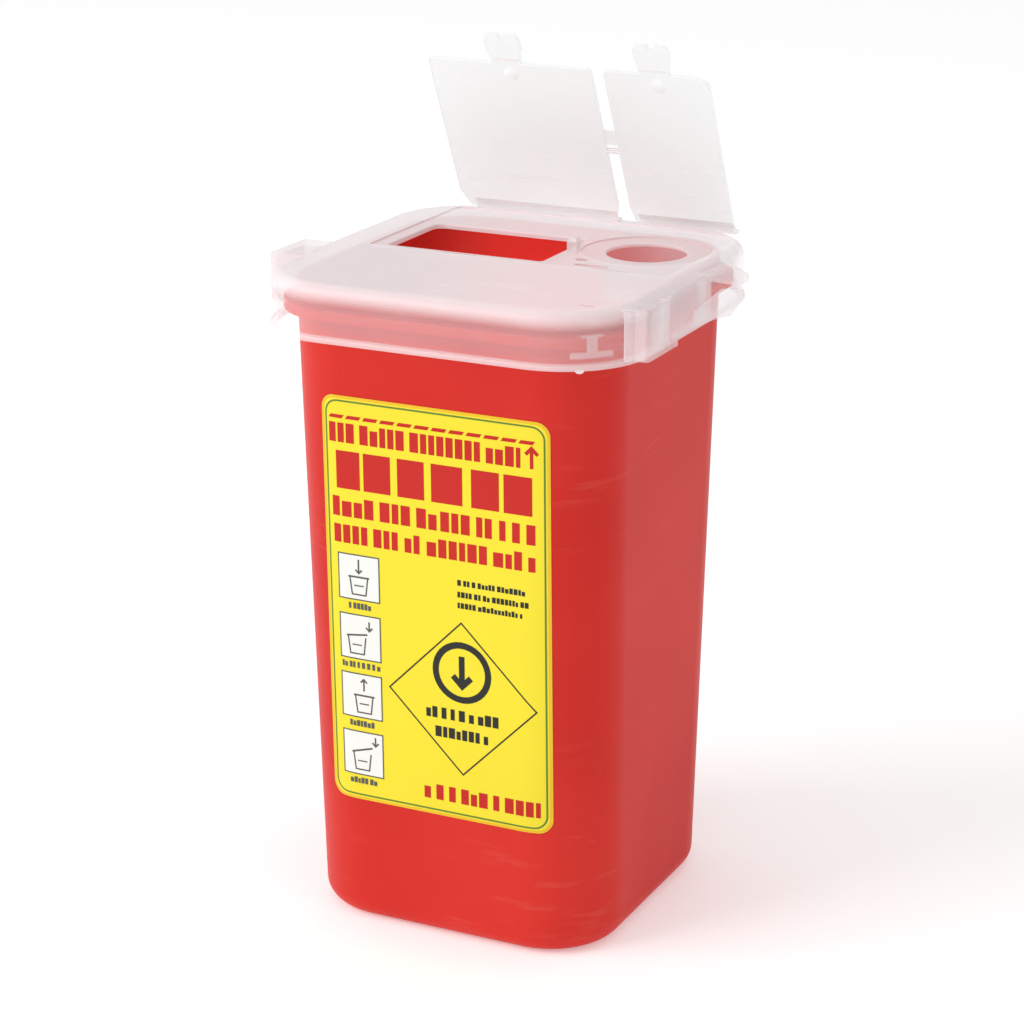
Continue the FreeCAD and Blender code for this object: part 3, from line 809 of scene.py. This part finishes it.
def addLidMarks():
    # gate mark on the deck, torn-off nub under the skirt, and a cored slot by the front right corner, drawn
    # as a thin patch painted with the slot's shade
    low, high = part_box("lid")
    bm = bmesh.new()
    dome(bm, Vector((gateDetail["place"][0] * mm, gateDetail["place"][1] * mm, high.z)),
         gateDetail["radius"] * mm, gateDetail["rise"] * mm)
    gate = smooth(finishMesh("gate_mark", bm, trimFrost), domeSmooth)
    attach(gate, "lid")
    bm = bmesh.new()
    dome(bm, Vector((tearNub["place"][0] * mm, tearNub["place"][1] * mm, low.z)),
         tearNub["radius"] * mm, -tearNub["drop"] * mm)
    nub = smooth(finishMesh("skirt_tear_nub", bm, trimFrost), domeSmooth)
    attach(nub, "lid")
    # the slot is not cut: a thin patch on the deck carries its painted shade
    bm = bmesh.new()
    wide, deep = (size * mm / 2 for size in coreSlot["size"])
    x, y = coreSlot["place"][0] * mm, coreSlot["place"][1] * mm
    foot = high.z - coreSlot["sunk"] * mm
    top = high.z + coreSlot["rise"] * mm
    addRun(bm, [[(x + dx * wide, y - deep, foot), (x + dx * wide, y + deep, foot),
                 (x + dx * wide, y + deep, top), (x + dx * wide, y - deep, top)] for dx in (-1, 0, 1)])
    slot = finishMesh("core_slot", bm, slotShade)
    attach(slot, "lid")


def addBridgeRibs():
    # breakable ribs across the gap, just under the bridge
    _, _, along, outward = hingeAxis("large_flap_hinge")
    low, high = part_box("flap_bridge")
    lower = Vector((0, high.y, low.z))
    width = bridgeRibs["width"] * mm / 2
    rise = bridgeRibs["rise"] * mm
    foot = lower - along * bridgeRibs["pitch"] * mm - outward * rise * 2.0
    bm = bmesh.new()
    addRun(bm, [[(x, *(foot + along * a + outward * b).yz) for a, b in
                 ((-width, 0), (width, 0), (width, rise), (-width, rise))] for x in (low.x, high.x)])
    ribs = finishMesh("bridge_ribs", bm)
    step = -along * bridgeRibs["pitch"] * mm
    bakeTree(ribs, rowTree, {"Count": bridgeRibs["count"], "Step": tuple(step), "Material": trimFrost})
    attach(ribs, "large_flap")


addCatchStems()
addLidMarks()
addBridgeRibs()
print("moulded details added")


camera = {"azimuth": 26.0, "elevation": 18.15, "distance": 0.6592, "target": (0.0, 0.0, 0.0901),
          "lens": 102.16, "sensor": 36.0, "clip": (0.01, 50.0)}
light = {"sky": 0.70, "backdrop": 1.0}
# the inside glow is the light that thin red walls let in, which the opaque red material holds back
softboxes = {
    "key softbox": {"place": (-0.9, -0.9, 0.9), "towards": (0, 0, 0.08), "size": (0.9, 0.9), "power": 10.0,
                    "spread": 180},
    "right softbox": {"place": (1.1, -0.2, 0.7), "towards": (0, 0, 0.08), "size": (0.7, 0.9), "power": 0.35,
                      "spread": 180},
    "inside glow": {"place": (0, -0.015, 0.10), "towards": (-0.003, 0.034, 0.104), "size": (0.03, 0.03),
                    "power": 0.022, "spread": 95},
}
floorLook = {"reach": 3.0, "colour": (0.93, 0.93, 0.93, 1), "roughness": 0.9, "shine": 0.1, "glow": 0.28}


def addCamera():
    azimuth = math.radians(camera["azimuth"])
    elevation = math.radians(camera["elevation"])
    offset = Vector((math.sin(azimuth) * math.cos(elevation), -math.cos(azimuth) * math.cos(elevation),
                     math.sin(elevation)))
    data = bpy.data.cameras.new("view")
    data.lens = camera["lens"]
    data.sensor_width = camera["sensor"]
    data.clip_start, data.clip_end = camera["clip"]
    eye = newObject("view", data)
    eye.location = Vector(camera["target"]) + offset * camera["distance"]
    eye.rotation_euler = (-offset).to_track_quat("-Z", "Y").to_euler()
    bpy.context.scene.camera = eye


def addSoftbox(name, place, towards, size, power, spread):
    data = bpy.data.lights.new(name, "AREA")
    data.shape = "RECTANGLE"
    data.size, data.size_y = size
    data.energy = power
    data.spread = math.radians(spread)
    lamp = newObject(name, data)
    lamp.visible_camera = False
    lamp.location = place
    lamp.rotation_euler = (Vector(towards) - Vector(place)).to_track_quat("-Z", "Y").to_euler()


def addFloor():
    mesh = bpy.data.meshes.new("floor")
    reach = floorLook["reach"]
    mesh.from_pydata([(-reach, -reach, 0), (reach, -reach, 0), (reach, reach, 0), (-reach, reach, 0)], [],
                     [(0, 1, 2, 3)])
    material = bpy.data.materials.new("pale floor")
    material.use_nodes = True
    shader = material.node_tree.nodes["Principled BSDF"]
    shader.inputs["Base Color"].default_value = floorLook["colour"]
    shader.inputs["Roughness"].default_value = floorLook["roughness"]
    shader.inputs["Specular IOR Level"].default_value = floorLook["shine"]
    shader.inputs["Emission Color"].default_value = (1, 1, 1, 1)
    shader.inputs["Emission Strength"].default_value = floorLook["glow"]
    mesh.materials.append(material)
    newObject("floor", mesh)


def addWorld():
    world = bpy.data.worlds.new("studio")
    world.use_nodes = True
    tree = world.node_tree
    sky = tree.nodes["Background"]
    sky.inputs["Color"].default_value = (1, 1, 1, 1)
    rays = addNode(tree, "ShaderNodeLightPath", (-600, 200))
    strength = rangeNode(tree, rays.outputs["Is Camera Ray"], 0.0, 1.0, light["sky"], light["backdrop"],
                         (-300, 0))
    tree.links.new(strength, sky.inputs["Strength"])
    bpy.context.scene.world = world


addCamera()
addFloor()
addWorld()
for name, softbox in softboxes.items():
    addSoftbox(name, **softbox)
bpy.context.scene.view_settings.view_transform = "Standard"
print("camera, floor and lights in place")
